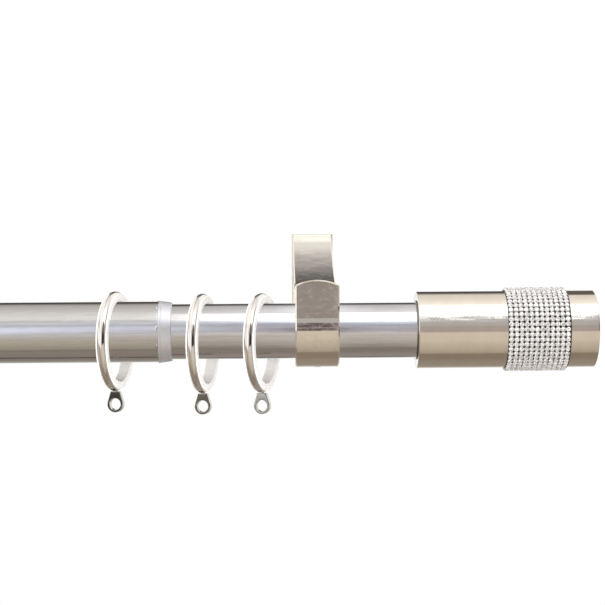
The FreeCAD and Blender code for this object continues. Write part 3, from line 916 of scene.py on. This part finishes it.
    def build(self) -> None:
        """Make and dress all of it."""
        self.sleeve()
        self.cap()
        self.adapter()
        self.stones()
        self.finishes.put(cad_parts[self.name("screw")], Finishes.SCREW)


@dataclass
class Bracket(Assembly):
    """One hook bracket: the CAD nodes keep their shape and get their finishes."""

    side: Side

    def build(self) -> None:
        """Dress the arm, the wall plate and the two grub screws."""
        for piece, finish in (
            ("hook_arm", Finishes.BRACKET), ("wall_plate", Finishes.PLATE),
            ("lock_screw", Finishes.SCREW), ("pole_screw", Finishes.SCREW),
        ):
            self.finishes.put(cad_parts[f"{self.side.value}_{piece}"], finish)


@dataclass
class Ring(Assembly):
    """One curtain ring: crowned hoop, nylon liner and swivel eyelet."""

    name: str
    yaw: float
    eye_face_painted_reflection: Finish
    eyelet_turn: float = -3.0
    width: float = 3.8
    depth: float = 3.0
    crown: float = 2.0
    crown_steps: int = 8
    gap: float = 0.05
    liner_bore: float = 18.5
    liner_width: float = 5.2
    liner_lip: float = 21.9
    eye_radius: float = 3.8
    eye_hole: float = 2.65
    eye_drop: float = 5.9
    eye_top_half: float = 2.15
    eye_half: float = 1.6
    eye_round: float = 0.45
    eye_gap: float = 0.07
    eye_steps: int = 96
    eye_flatness: float = 0.93
    stem_radius: float = 0.8
    stem_foot: float = 1.4
    head_radius: float = 1.4
    head_top_radius: float = 0.9
    head_height: float = 1.2
    head_bevel: float = 0.25
    head_proud: float = 0.2
    segments: int = 192
    stem_segments: int = 48

    def formed(self, piece: str, way: str, profile: Profile, slot: str, finish: Finish) -> None:
        """Turn a piece of the ring that the tubes don't mirror.

        Args:
            piece: its CAD node's name without the ring's.
            way: how it was made, for its own name.
            profile: points of (along, radius) from its middle.
            slot: the record's material slot.
            finish: its finish.
        """
        node = f"{self.name}_{piece}"
        middle = Span.of(node).middle
        placing = standing(middle, middle.x, self.yaw)
        made = finish_mesh(f"{node}_{way}", lathe(profile, self.segments), placing)
        made.visible_glossy = False
        self.dress(made, slot, self.name, finish, node=node)

    def hoop(self) -> None:
        """Make the crowned metal hoop."""
        radius = Span.of(f"{self.name}_hoop").radius
        inner, top = radius - self.depth, radius - self.crown
        half, steps = self.width / 2, self.crown_steps
        sweep = math.asin(half / self.crown)
        turns = [sweep * share / steps for share in range(steps, -steps - 1, -1)]
        arc = [(self.crown * math.sin(turn), top + self.crown * math.cos(turn)) for turn in turns]
        profile = [(-half, inner), (half, inner)] + arc
        self.formed("hoop", "formed", profile, "ring_nickel", Finishes.RING)

    def liner(self) -> None:
        """Make the white channel that the hoop sits in."""
        floor = Span.of(f"{self.name}_hoop").radius - self.depth - self.gap
        half = self.liner_width / 2
        groove = self.width / 2 + self.gap
        corners = [
            (-half, self.liner_bore), (half, self.liner_bore), (half, self.liner_lip),
            (groove, self.liner_lip), (groove, floor), (-groove, floor),
            (-groove, self.liner_lip), (-half, self.liner_lip),
        ]
        profile = round_corners(corners, [0.5, 0.5, 0.3, 0.12, 0.05, 0.05, 0.12, 0.3])
        self.formed("liner", "moulded", profile, "liner_nylon", Finishes.LINER)

    def eye_edge(self, bearing: float) -> tuple[Vector, Vector]:
        """A point of the eye's drop-shaped edge.

        Args:
            bearing: angle at the hole's middle in radians, from straight down.

        Returns:
            The point, measured from the hole's middle as (across, up), and the way out of the edge.
        """
        top = self.eye_drop - self.eye_gap
        slope = math.hypot(self.eye_top_half, top)
        tangent = math.atan2(self.eye_top_half, top) + math.acos(self.eye_radius / slope)
        shoulder = math.pi - math.atan2(self.eye_top_half, top)
        side = 1.0 if bearing <= math.pi else -1.0
        turned = bearing if side > 0 else 2 * math.pi - bearing
        way = Vector((math.sin(turned), -math.cos(turned)))
        if turned < math.pi - tangent:
            point, out = way * self.eye_radius, way
        elif turned < shoulder:
            start = Vector((math.sin(tangent), math.cos(tangent))) * self.eye_radius
            run = Vector((self.eye_top_half, top)) - start
            out = Vector((run.y, -run.x)).normalized()
            point = way * (start.dot(out) / way.dot(out))
        else:
            point, out = way * (top / way.y), Vector((0.0, 1.0))
        return Vector((side * point.x, point.y)), Vector((side * out.x, out.y))

    def eyelet(self) -> None:
        """Make the cast eye, with dull faces and brighter rounded rims, and its stem. How dark the
        faces are is set for each ring, as painted reflection.
        """
        span = Span.of(f"{self.name}_hoop")
        mesh = bmesh.new()
        soft = self.eye_round
        flat = self.eye_half - soft
        arc = [math.pi / 8 * count for count in range(5)]
        quarter = [(soft * (math.cos(turn) - 1.0), flat + soft * math.sin(turn)) for turn in arc]
        rim = [(lift, -depth) for lift, depth in quarter[::-1]] + quarter
        hole = [(-lift, -depth) for lift, depth in rim]
        middle_z = -span.radius - self.eye_gap - (self.eye_drop - self.eye_gap)
        loops = []
        for step in range(self.eye_steps):
            bearing = 2 * math.pi * (step + 0.5) / self.eye_steps
            edge, way = self.eye_edge(bearing)
            bore = Vector((math.sin(bearing), -math.cos(bearing)))
            points = [(edge + way * lift, depth) for lift, depth in rim]
            points += [(bore * (self.eye_hole + lift), depth) for lift, depth in hole]
            loops.append([Vector((point.x, depth, point.y + middle_z)) for point, depth in points])
        loft(mesh, loops)
        placing = standing(span.middle, span.middle.x, self.yaw + self.eyelet_turn)
        made = finish_mesh(f"{self.name}_eyelet_cast", mesh, placing)
        # The faces take this ring's painted-reflection copy of the casting; the rims keep the plain
        # rim metal.
        finishes = self.eye_face_painted_reflection, Finishes.EYE_RIM
        node, body = f"{self.name}_eyelet", f"{self.name}_swivel"
        self.dress(made, "eyelet_metal", body, *finishes, node=node)
        facing = (placing.to_3x3() @ Vector((0.0, 1.0, 0.0))).normalized()
        # Front and back faces get the painted-reflection finish, the rims and the hole the rim
        # metal.
        for face in made.data.polygons:
            face.material_index = int(abs(face.normal.dot(facing)) <= self.eye_flatness)
        self.stem(placing, span.radius, body)

    def stem(self, placing: Matrix, radius: float, body: str) -> None:
        """Make the headed stem that turns in the hoop.

        Args:
            placing: where the eyelet stands.
            radius: the hoop's outside radius.
            body: the body that it rides on.
        """
        low, high = -radius - self.stem_foot, -radius + self.depth + self.head_proud
        neck, bevel = high - self.head_height, high - self.head_bevel
        outline = [
            (low, 0.0), (low, self.stem_radius), (neck, self.stem_radius), (neck, self.head_radius),
            (bevel, self.head_radius), (high, self.head_top_radius), (high, 0.0),
        ]
        upright = placing @ rotation(-90.0, "Y")
        mesh = lathe(outline, self.stem_segments)
        made = finish_mesh(f"{self.name}_eyelet_stem", mesh, upright)
        self.dress(made, "eyelet_metal", body, Finishes.EYE_RIM)

    def build(self) -> None:
        """Make and dress all of it."""
        self.hoop()
        self.liner()
        self.eyelet()


# ---- the studio


@dataclass(frozen=True)
class Studio:
    """Camera, floor, lamps and the surroundings that the metal mirrors.

    The surroundings are given by their angle round the rod, from 0 at the camera through 90
    overhead to 180 behind, and -90 below.
    """

    camera_place: Triple = (-17.8, -853.5, -13.3)
    lens: float = 97.9
    pan: float = -0.853
    tilt: float = 0.48
    roll: float = -0.42
    floor_height: float = -0.47
    floor_size: float = 3.0
    floor_tones: tuple[Colour, Colour] = ((0.90, 0.89, 0.87), (0.88, 0.87, 0.85))
    lamp_aim: Triple = (-0.1, -0.09, -0.02)
    lamps: tuple[tuple[str, Triple, float, float], ...] = (
        ("soft_key", (-0.9, -1.3, 1.3), 0.9, 11.0),
        ("soft_fill", (0.35, -1.7, -0.05), 0.9, 15.0),
    )
    strength: float = 3.0
    left_side: Colour = (1.3, 1.3, 1.3)
    right_side: Colour = (0.55, 0.53, 0.50)
    round_rod: Stops = (
        (-180.0, (1.05, 1.05, 1.05)), (-168.0, (0.95, 0.95, 0.95)), (-155.0, (0.56, 0.53, 0.50)),
        (-143.0, (0.37, 0.33, 0.29)), (-105.0, (0.34, 0.29, 0.25)), (-99.0, (0.30, 0.25, 0.21)),
        (-78.0, (0.30, 0.25, 0.20)), (-73.0, (0.47, 0.41, 0.35)), (-60.0, (0.56, 0.50, 0.43)),
        (-45.0, (0.64, 0.58, 0.50)), (-30.0, (0.75, 0.68, 0.60)), (-5.0, (0.76, 0.69, 0.64)),
        (-1.0, (0.48, 0.41, 0.39)), (5.0, (0.49, 0.44, 0.43)), (9.0, (0.46, 0.44, 0.44)),
        (13.0, (0.53, 0.52, 0.53)), (26.0, (0.56, 0.56, 0.60)), (31.0, (0.62, 0.64, 0.71)),
        (38.0, (1.10, 1.17, 1.32)), (46.0, (2.2, 2.2, 2.2)), (75.0, (2.2, 2.2, 2.2)),
        (82.0, (1.25, 1.22, 1.20)), (105.0, (0.98, 0.94, 0.93)), (127.0, (0.86, 0.82, 0.80)),
        (137.0, (0.42, 0.40, 0.38)), (142.0, (0.11, 0.10, 0.10)), (169.0, (0.08, 0.07, 0.07)),
        (173.0, (1.00, 1.00, 1.00)), (180.0, (1.05, 1.05, 1.05)),
    )
    round_left: Stops = (
        (-180.0, (1.10, 1.10, 1.08)), (-160.0, (0.62, 0.60, 0.57)), (-145.0, (0.40, 0.38, 0.34)),
        (-134.0, (0.33, 0.30, 0.25)), (-114.5, (0.27, 0.23, 0.20)), (-112.5, (0.09, 0.07, 0.06)),
        (-109.5, (0.10, 0.08, 0.07)), (-107.0, (0.29, 0.25, 0.21)), (-80.0, (0.33, 0.28, 0.23)),
        (-73.0, (0.27, 0.23, 0.18)), (-64.0, (0.40, 0.35, 0.28)), (-48.0, (0.50, 0.45, 0.35)),
        (-24.0, (0.60, 0.54, 0.46)), (-8.0, (0.74, 0.71, 0.69)), (-4.0, (0.67, 0.66, 0.67)),
        (4.0, (0.74, 0.74, 0.79)), (10.0, (0.85, 0.87, 0.96)), (18.0, (0.83, 0.86, 0.95)),
        (24.0, (0.70, 0.72, 0.78)), (28.0, (0.62, 0.64, 0.68)), (33.5, (0.86, 0.86, 0.89)),
        (38.0, (0.76, 0.76, 0.77)), (42.5, (0.67, 0.655, 0.64)), (48.0, (0.94, 0.92, 0.87)),
        (52.0, (1.02, 0.99, 0.92)), (78.0, (0.86, 0.83, 0.76)), (126.0, (0.54, 0.51, 0.46)),
        (136.0, (0.25, 0.23, 0.21)), (142.0, (0.09, 0.08, 0.07)), (164.0, (0.08, 0.07, 0.07)),
        (173.0, (1.00, 1.00, 1.00)), (180.0, (1.10, 1.10, 1.08)),
    )
    round_arm: Stops = (
        (0.0, (0.62, 0.63, 0.67)), (92.0, (1.50, 1.50, 1.50)), (112.0, (1.26, 1.26, 1.29)),
        (122.0, (1.06, 1.05, 1.07)), (126.5, (0.97, 0.96, 0.99)), (129.0, (0.80, 0.78, 0.80)),
        (131.5, (0.63, 0.62, 0.64)), (134.0, (0.51, 0.50, 0.51)), (138.5, (0.44, 0.44, 0.44)),
        (141.0, (0.36, 0.36, 0.36)), (143.5, (0.24, 0.24, 0.24)), (148.0, (0.15, 0.145, 0.145)),
        (168.0, (0.10, 0.10, 0.10)), (176.0, (0.90, 0.90, 0.90)),
    )
    cloud_shift: float = 85.0
    drum_shift: float = 3.8
    slant: float = 85.0
    left_waver: float = 5.0
    arm_grain: float = 40.0
    glow_share: float = 0.26
    haze_share: float = 0.55
    pole_shade: tuple[Triple, ...] = (
        (79.0, 135.0, 0.19), (-58.0, -15.0, 0.16), (-76.0, -58.0, 0.27), (-168.0, -137.0, 0.40),
    )
    lavender: Colour = (1.02, 1.04, 1.18)
    lip_tone: Colour = (0.35, 0.32, 0.32)
    band_tone: Colour = (0.11, 0.085, 0.105)
    behind_sides: Colour = (1.12, 1.10, 1.07)
    side_gleam: Colour = (1.20, 1.19, 1.17)
    side_dusk: Colour = (0.34, 0.29, 0.25)
    end_dusk: Colour = (0.15, 0.13, 0.12)
    side_dark: Colour = (0.04, 0.028, 0.024)
    side_haze: Colour = (0.20, 0.17, 0.155)
    left_low: Colour = (0.56, 0.51, 0.44)
    haze: Colour = (0.92, 0.99, 1.13)

    def camera(self) -> None:
        """Stand the camera where the photograph was taken."""
        data = bpy.data.cameras.new("camera")
        data.lens = self.lens
        data.sensor_width = 36.0
        data.clip_start, data.clip_end = 0.01, 50.0
        camera = bpy.data.objects.new("camera", data)
        bpy.context.scene.collection.objects.link(camera)
        level = rotation(self.pan, "Z") @ rotation(90.0 + self.tilt, "X")
        aim = level @ rotation(self.roll, "Z")
        camera.matrix_world = Matrix.Translation(Vector(self.camera_place) * MM) @ aim
        bpy.context.scene.camera = camera

    def surroundings(self) -> None:
        """Paint the studio round the object, and a white background behind it."""
        world = bpy.data.worlds.new("studio")
        world.use_nodes = True
        bpy.context.scene.world = world
        graph = Graph(world.node_tree)
        coordinates = graph.node("ShaderNodeTexCoord")
        parts = graph.node("ShaderNodeSeparateXYZ", {}, {0: coordinates.outputs["Generated"]})
        across, depth, height = (Field(graph, output) for output in parts.outputs)
        angle = height.angle_over(0.0 - depth) * (180.0 / math.pi)
        leftward = 0.0 - across
        hook = across.within(0.0075, 0.0385, 0.003)
        near = self.over_tubes(graph, across, angle, hook)
        waver = graph.drift((45.0, 5.0, 5.0)) * self.left_waver
        far = self.ramp(graph, self.round_left, angle + waver)
        colour = graph.mix(leftward.rise(0.030, 0.072), near, far)
        worn = (graph.drift((300.0, 60.0, 60.0), 3.0) * 1.6 + 0.95).at_most(1.0)
        grain = graph.drift((700.0, 45.0, 45.0), 2.0) * self.arm_grain
        arm = self.ramp(graph, self.round_arm, angle + grain * angle.rise(120.0, 140.0))
        back = angle.within(124.0, 176.0, 8.0)
        beside = across.rise(0.205, 0.22) * across.rise(0.97, 0.92)
        for mask, tone in (
            (leftward.rise(0.115, 0.165) * angle.within(-1.0, 18.0, 8.0), self.lavender),
            (hook * angle.within(-8.5, 15.0, 2.5) * worn, self.band_tone),
            (hook * angle.within(-0.9, 1.8, 0.6), self.lip_tone),
            (hook * angle.rise(84.0, 92.0), arm),
            (across.absolute().rise(0.205, 0.23) * back, self.behind_sides),
            (across.within(0.168, 0.21, 0.01) * angle.within(124.0, 171.0, 8.0), self.end_dusk),
            (leftward.rise(0.22, 0.34) * angle.within(-16.0, 122.0, 12.0), self.side_gleam),
            (leftward.rise(0.58, 0.72) * angle.within(-120.0, -14.0, 14.0), self.side_dusk),
            (leftward.rise(0.80, 0.92), self.left_low),
            (leftward.rise(0.89, 0.96) * height.rise(-0.10, -0.02), self.left_side),
            (across.rise(0.72, 0.93), self.right_side),
            (beside * angle.within(16.0, 48.0, 10.0), self.side_haze),
            (beside * angle.within(-6.0, 22.0, 8.0), self.side_dark),
        ):
            colour = graph.mix(mask, colour, self.scaled(tone))
        lit = {"Color": colour, "Strength": self.strength}
        studio = graph.node("ShaderNodeBackground", {}, lit)
        white = graph.node("ShaderNodeBackground", {}, {"Color": paint(WHITE), "Strength": 1.0})
        path = graph.node("ShaderNodeLightPath")
        kinds = ("Camera", "Glossy", "Transmission")
        seen, mirrored, through = (Field(graph, path.outputs[f"Is {kind} Ray"]) for kind in kinds)
        share = seen.at_least(mirrored.at_least(through) * depth.rise(0.975, 0.99))
        shaders = {0: share, 1: studio.outputs[0], 2: white.outputs[0]}
        mixed = graph.node("ShaderNodeMixShader", {}, shaders)
        graph.node("ShaderNodeOutputWorld", {}, {"Surface": mixed.outputs[0]})

    def over_tubes(self, graph: Graph, across: Field, angle: Field, hook: Field) -> NodeSocket:
        """Colours that the inner tube and the drum mirror.

        Args:
            graph: the world's nodes.
            across: how far to the right a direction points.
            angle: its angle round the rod in degrees.
            hook: 1 over the hook.

        Returns:
            The colour, as a share of the surroundings' strength.
        """
        clouds = graph.drift((130.0, 7.0, 7.0), 4.0) * angle.within(24.0, 50.0, 20.0)
        drum = across.within(0.081, 0.6, 0.008)
        lowered = drum * angle.within(-16.0, 3.0, 6.0) * self.drum_shift
        pole = across.rise(0.085, 0.077) * (1.0 - hook)
        slant = pole * (across - 0.0155) * angle.within(20.0, 60.0, 20.0) * self.slant
        turned = angle + drum * clouds * self.cloud_shift + lowered + slant
        specks = graph.drift((220.0, 9.0, 9.0), 3.0).rise(-0.02, 0.08)
        colour = self.ramp(graph, self.round_rod, turned)
        shades = self.pole_shade
        for mask, tone in (
            (pole * angle.within(-10.0, 17.0, 6.0) * self.glow_share, self.lavender),
            *((pole * angle.within(low, high, 8.0) * share, BLACK) for low, high, share in shades),
            (drum * angle.within(25.0, 44.0, 8.0) * specks * self.haze_share, self.haze),
        ):
            colour = graph.mix(mask, colour, self.scaled(tone))
        return colour

    def ramp(self, graph: Graph, colours: Stops, angle: Field) -> NodeSocket:
        """Colour by the angle round the rod.

        Args:
            graph: the world's nodes.
            colours: an angle in degrees and its colour for each stop, in order.
            angle: the angle in degrees.

        Returns:
            The colour, as a share of the surroundings' strength.
        """
        stops = [(stop / 360.0 + 0.5, self.scaled(colour)) for stop, colour in colours]
        made = graph.node("ShaderNodeValToRGB", {"stops": stops}, {0: angle * (1.0 / 360.0) + 0.5})
        return made.outputs[0]

    def scaled(self, tone: object) -> object:
        """A brightness as a share of the surroundings' strength, or a socket as it is."""
        plain = isinstance(tone, tuple)
        return tuple(channel / self.strength for channel in tone) if plain else tone

    def floor(self) -> None:
        """Lay a pale floor under the object."""
        mesh = bmesh.new()
        bmesh.ops.create_circle(mesh, cap_ends=True, radius=self.floor_size / 2 / MM, segments=96)
        low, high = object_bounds()
        place = Vector(((low[0] + high[0]) / 2 / MM, 0.0, self.floor_height / MM))
        floor = finish_mesh("floor", mesh, Matrix.Translation(place))
        material = bpy.data.materials.new("pale_floor")
        material.use_nodes = True
        graph = Graph(material.node_tree)
        colour = graph.mix(graph.noise((3.0, 3.0, 3.0), 2.0), *self.floor_tones)
        shader = graph.node("ShaderNodeBsdfDiffuse", {}, {"Color": colour})
        graph.node("ShaderNodeOutputMaterial", {}, {"Surface": shader.outputs[0]})
        floor.data.materials.append(material)
        floor.visible_glossy = False
        floor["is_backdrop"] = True

    def lamp(self, name: str, place: Triple, size: float, power: float) -> None:
        """Hang a square soft lamp.

        Args:
            name: its name.
            place: where it hangs, in metres.
            size: its side.
            power: its power in watts.
        """
        data = bpy.data.lights.new(name, "AREA")
        data.size = size
        data.energy = power
        lamp = bpy.data.objects.new(name, data)
        lamp.location = place
        aim = Vector(self.lamp_aim) - Vector(place)
        lamp.rotation_euler = aim.to_track_quat("-Z", "Y").to_euler()
        lamp.visible_glossy = False
        bpy.context.scene.collection.objects.link(lamp)

    def build(self) -> None:
        """Set up all of it."""
        bpy.context.scene.view_settings.view_transform = "Standard"
        self.camera()
        self.surroundings()
        self.floor()
        for lamp in self.lamps:
            self.lamp(*lamp)
        LOG.info("studio built")


def main() -> None:
    """Build every piece, then the studio."""
    finishes = Finishes()
    Tubes(finishes).build()
    Finial(finishes, Side.RIGHT, Body.INNER, "inner_tube").build()
    Finial(finishes, Side.LEFT, Body.FIXED, "outer_tube", seed=23).build()
    for side in Side:
        Bracket(finishes, side).build()
    # Each ring's eyelet faces get a different brightness of the same casting: painted reflection.
    Ring(finishes, "ring_1", -11.7, Finishes.EYE_PAINTED_DARK_REFLECTION).build()
    Ring(finishes, "ring_2", -11.5, Finishes.EYE_PAINTED_MID_REFLECTION).build()
    Ring(finishes, "ring_3", -16.0, Finishes.EYE_PAINTED_PALE_REFLECTION).build()
    Studio().build()


if __name__ == "__main__":
    logging.basicConfig(level=logging.INFO)
    main()
